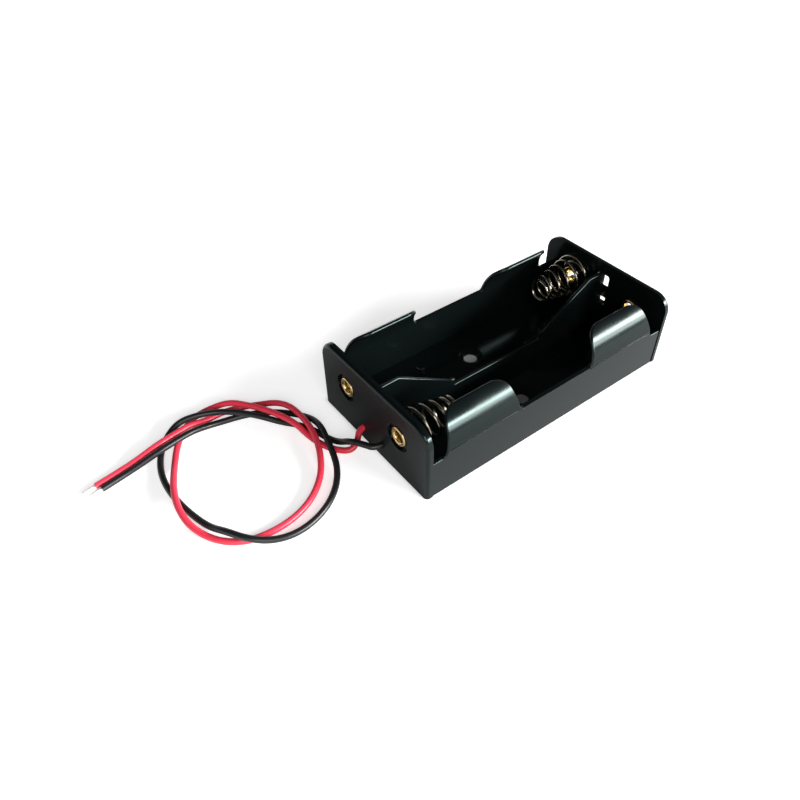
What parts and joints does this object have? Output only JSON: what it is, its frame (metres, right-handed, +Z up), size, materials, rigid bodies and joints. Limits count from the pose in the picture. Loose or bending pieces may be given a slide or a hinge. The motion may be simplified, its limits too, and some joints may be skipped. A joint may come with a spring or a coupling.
{
  "type": "cylindrical cell holder",
  "caption": "Open moulded holder for AA cells side by side, with conical springs, brass eyelet contacts, curled retaining hoods, screw holes and a red and a black lead.",
  "frame": {"origin": "middle of the housing's underside", "axes": "+X along the cells, away from the end wall with the leads; +Y across the bays, towards the bay with the red lead; +Z up, out of the open top"},
  "size_m": [0.1079, 0.0437, 0.0157],
  "materials": {
    "housing_plastic": "moulded, semi-gloss",
    "spring_wire": "nickel plated spring wire",
    "brass": "bright",
    "tinned_copper": "tinned",
    "red_insulation": "soft satin",
    "black_insulation": "soft satin"
  },
  "bodies": {
    "holder": {"housing": "housing_plastic", "positive_eyelet": "brass", "negative_eyelet": "brass", "series_spring_eyelet": "brass", "series_positive_eyelet": "brass", "series_link": "brass", "positive_tag": "brass", "negative_tag": "brass", "red_lead": "red_insulation", "black_lead": "black_insulation", "red_lead_tip": "tinned_copper", "black_lead_tip": "tinned_copper", "red_lead_joint": "tinned_copper", "black_lead_joint": "tinned_copper"},
    "front_spring": {"negative_spring": "spring_wire"},
    "back_spring": {"series_spring": "spring_wire"}
  },
  "joints": [
    {"name": "negative_spring_press", "type": "slide", "parent": "holder", "child": "front_spring", "axis": [-1, 0, 0], "range_m": [0, 0.006], "stiffness_N_per_m": 300, "deforming": ["negative_spring"]},
    {"name": "series_spring_press", "type": "slide", "parent": "holder", "child": "back_spring", "axis": [1, 0, 0], "range_m": [0, 0.006], "stiffness_N_per_m": 300, "deforming": ["series_spring"]}
  ]
}
